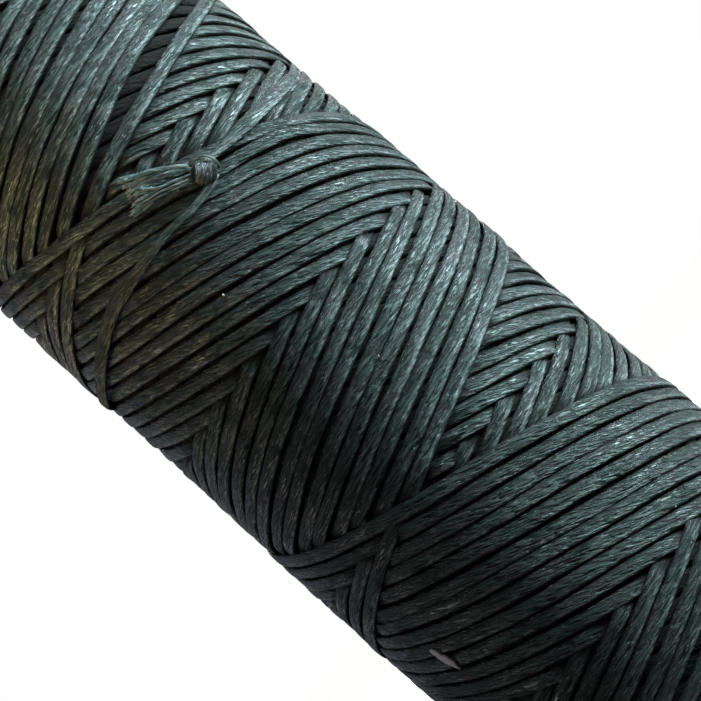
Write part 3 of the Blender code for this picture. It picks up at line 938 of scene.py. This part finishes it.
floor_reach = 3.0
floor_glow = 0.86               # so that the unshaded floor is as white as the background
floor_grey = 0.8
studio_light = 0.05
room_warmth = (1.0, 0.84, 0.66)
white = (1.0, 1.0, 1.0)
card_height, low_card_height, foot_card_height = 0.35, 0.08, 0.0165
standing_line = [(0.10, -0.22), (-0.09, -0.30), (-0.09, 0.02), (-0.09, 0.16), (-0.03, 0.16)]
low_line = [(0.113, 0.041), (0.031, 0.116)]
foot_line = [(0.035, -0.050), (0.035, 0)]
lying_line = [(-0.30, -0.30), (0.30, -0.30), (0.30, -0.16), (0.012, -0.011), (-0.002, -0.016),
              (-0.016, -0.002), (-0.05, 0.16), (-0.30, 0.16)]
lying_height = 0.0002
middle_z = (winding_low.z + winding_high.z) / 2


def flat_mesh(name, corners):
    """One flat face through its corners."""
    mesh = bpy.data.meshes.new(name)
    mesh.from_pydata(corners, [], [tuple(range(len(corners)))])
    return mesh


r = floor_reach
floor_mesh = flat_mesh("floor", [(-r, -r, 0), (r, -r, 0), (r, r, 0), (-r, r, 0)])
floor = new_object("floor", floor_mesh)
pale_floor, tree, shader = new_material("pale_floor")
give(tree, shader, Base_Color=(floor_grey, floor_grey, floor_grey, 1), Roughness=0.9)


def seen_as_background(tree):
    """1 for the camera's own rays and for mirrored and refracted ones, and 0 for light."""
    rays = add_node(tree, "ShaderNodeLightPath").outputs
    straight = maths(tree, "MAXIMUM", rays["Is Camera Ray"], rays["Is Transmission Ray"])
    return maths(tree, "MAXIMUM", straight, rays["Is Glossy Ray"])


glow = add_node(tree, "ShaderNodeEmission")
give(tree, glow, Strength=maths(tree, "MULTIPLY", seen_as_background(tree), floor_glow))
both = add_node(tree, "ShaderNodeAddShader")
feed(tree, shader.outputs[0], both.inputs[0])
feed(tree, glow.outputs[0], both.inputs[1])
feed(tree, both.outputs[0], tree.nodes["Material Output"].inputs["Surface"])
floor_mesh.materials.append(pale_floor)

world = bpy.data.worlds.new("studio")
world.use_nodes = True
bpy.context.scene.world = world
tree = world.node_tree
seen = seen_as_background(tree)
give(tree, tree.nodes["Background"], Color=blend_colours(tree, seen, room_warmth, white),
     Strength=between(tree, seen, studio_light, 1.0))


def aim(lamp, watts, colour, azimuth, elevation, distance, height=middle_z):
    """Puts up a lamp that faces the spool's axis at a height from a direction in degrees."""
    lamp.energy, lamp.color = watts, colour
    stand = new_object(lamp.name, lamp)
    a, e = math.radians(azimuth), math.radians(elevation)
    way = Vector((math.cos(e) * math.cos(a), math.cos(e) * math.sin(a), math.sin(e)))
    stand.location = Vector((0, 0, height)) + way * distance
    stand.rotation_euler = (-way).to_track_quat("-Z", "Y").to_euler()


def soft_box(name, width, height):
    """A rectangular light."""
    lamp = bpy.data.lights.new(name, "AREA")
    lamp.shape, lamp.size, lamp.size_y = "RECTANGLE", width, height
    return lamp


aim(soft_box("window", 0.15, 0.30), watts=3.1, colour=(0.96, 1.0, 1.0),
    azimuth=-12, elevation=5, distance=0.40)
aim(soft_box("rose_fill", 0.03, 0.03), watts=0.0080, colour=(1.0, 0.69, 0.66),
    azimuth=-162, elevation=-10, distance=0.09)
aim(soft_box("back_light", 0.15, 0.30), watts=0.7, colour=(1.0, 0.95, 0.9),
    azimuth=90, elevation=20, distance=0.45)
warm_spot = bpy.data.lights.new("warm_spot", "SPOT")
warm_spot.spot_size, warm_spot.spot_blend = math.radians(30), 1.0
warm_spot.shadow_soft_size = 0.01
aim(warm_spot, watts=0.105, colour=(1.0, 0.60, 0.26),
    azimuth=-138, elevation=3, distance=0.085, height=0.056)


def card_finish(name, glow, colour=white):
    """Matt black card, or grey by a faint glow of its own."""
    material, tree, shader = new_material(name)
    give(tree, shader, Base_Color=(0.01, 0.01, 0.01, 1), Specular_IOR_Level=0.0,
         Emission_Color=(*colour, 1), Emission_Strength=glow)
    return material


black_card = card_finish("black_card", 0.0)
blue_grey_card = card_finish("blue_grey_card", 0.20, (0.92, 0.94, 1.14))
grey_card = card_finish("grey_card", 0.24)


def card(name, corners, finish, shading=False):
    """A flat card that the camera doesn't see, to keep white surroundings off the spool.

    Only a shading card holds back the lamps' light too.
    """
    mesh = flat_mesh(name, corners)
    mesh.materials.append(finish)
    piece = new_object(name, mesh)
    piece.visible_camera = False
    piece.visible_shadow = shading


def standing(start, end, height):
    """The corners of an upright card on the floor from one place to another."""
    return [(*start, 0), (*end, 0), (*end, height), (*start, height)]


finishes = [black_card, black_card, blue_grey_card, blue_grey_card]
for number, finish in enumerate(finishes, 1):
    corners = standing(standing_line[number - 1], standing_line[number], card_height)
    card(f"standing_card_{number}", corners, finish)
card("low_card", standing(*low_line, low_card_height), grey_card)
card("foot_card", standing(*foot_line, foot_card_height), black_card, shading=True)
card("lying_card", [(x, y, lying_height) for x, y in lying_line], black_card)

camera_distance, camera_drop = 0.1000, 0.0022   # from the axis, and below the crossing
camera_tilt, camera_yaw, camera_roll = 0.117, 0.007, math.radians(-48.68)
picture_width, focal_length = 701, 1560.9       # in pixels
forward = Vector((math.cos(camera_tilt) * math.sin(camera_yaw),
                  math.cos(camera_tilt) * math.cos(camera_yaw), math.sin(camera_tilt)))
level = forward.cross(Vector((0, 0, 1))).normalized()
upright = level.cross(forward)
right = math.cos(camera_roll) * level + math.sin(camera_roll) * upright
up = math.cos(camera_roll) * upright - math.sin(camera_roll) * level
camera = new_object("camera", bpy.data.cameras.new("camera"))
turned = Matrix((right, up, -forward)).transposed().to_4x4()
camera.matrix_world = Matrix.Translation((0, -camera_distance, crossing_z - camera_drop)) @ turned
camera.data.sensor_width = 36.0
camera.data.lens = focal_length / picture_width * camera.data.sensor_width
camera.data.clip_start = 0.005
bpy.context.scene.camera = camera
bpy.context.scene.view_settings.view_transform = "Standard"
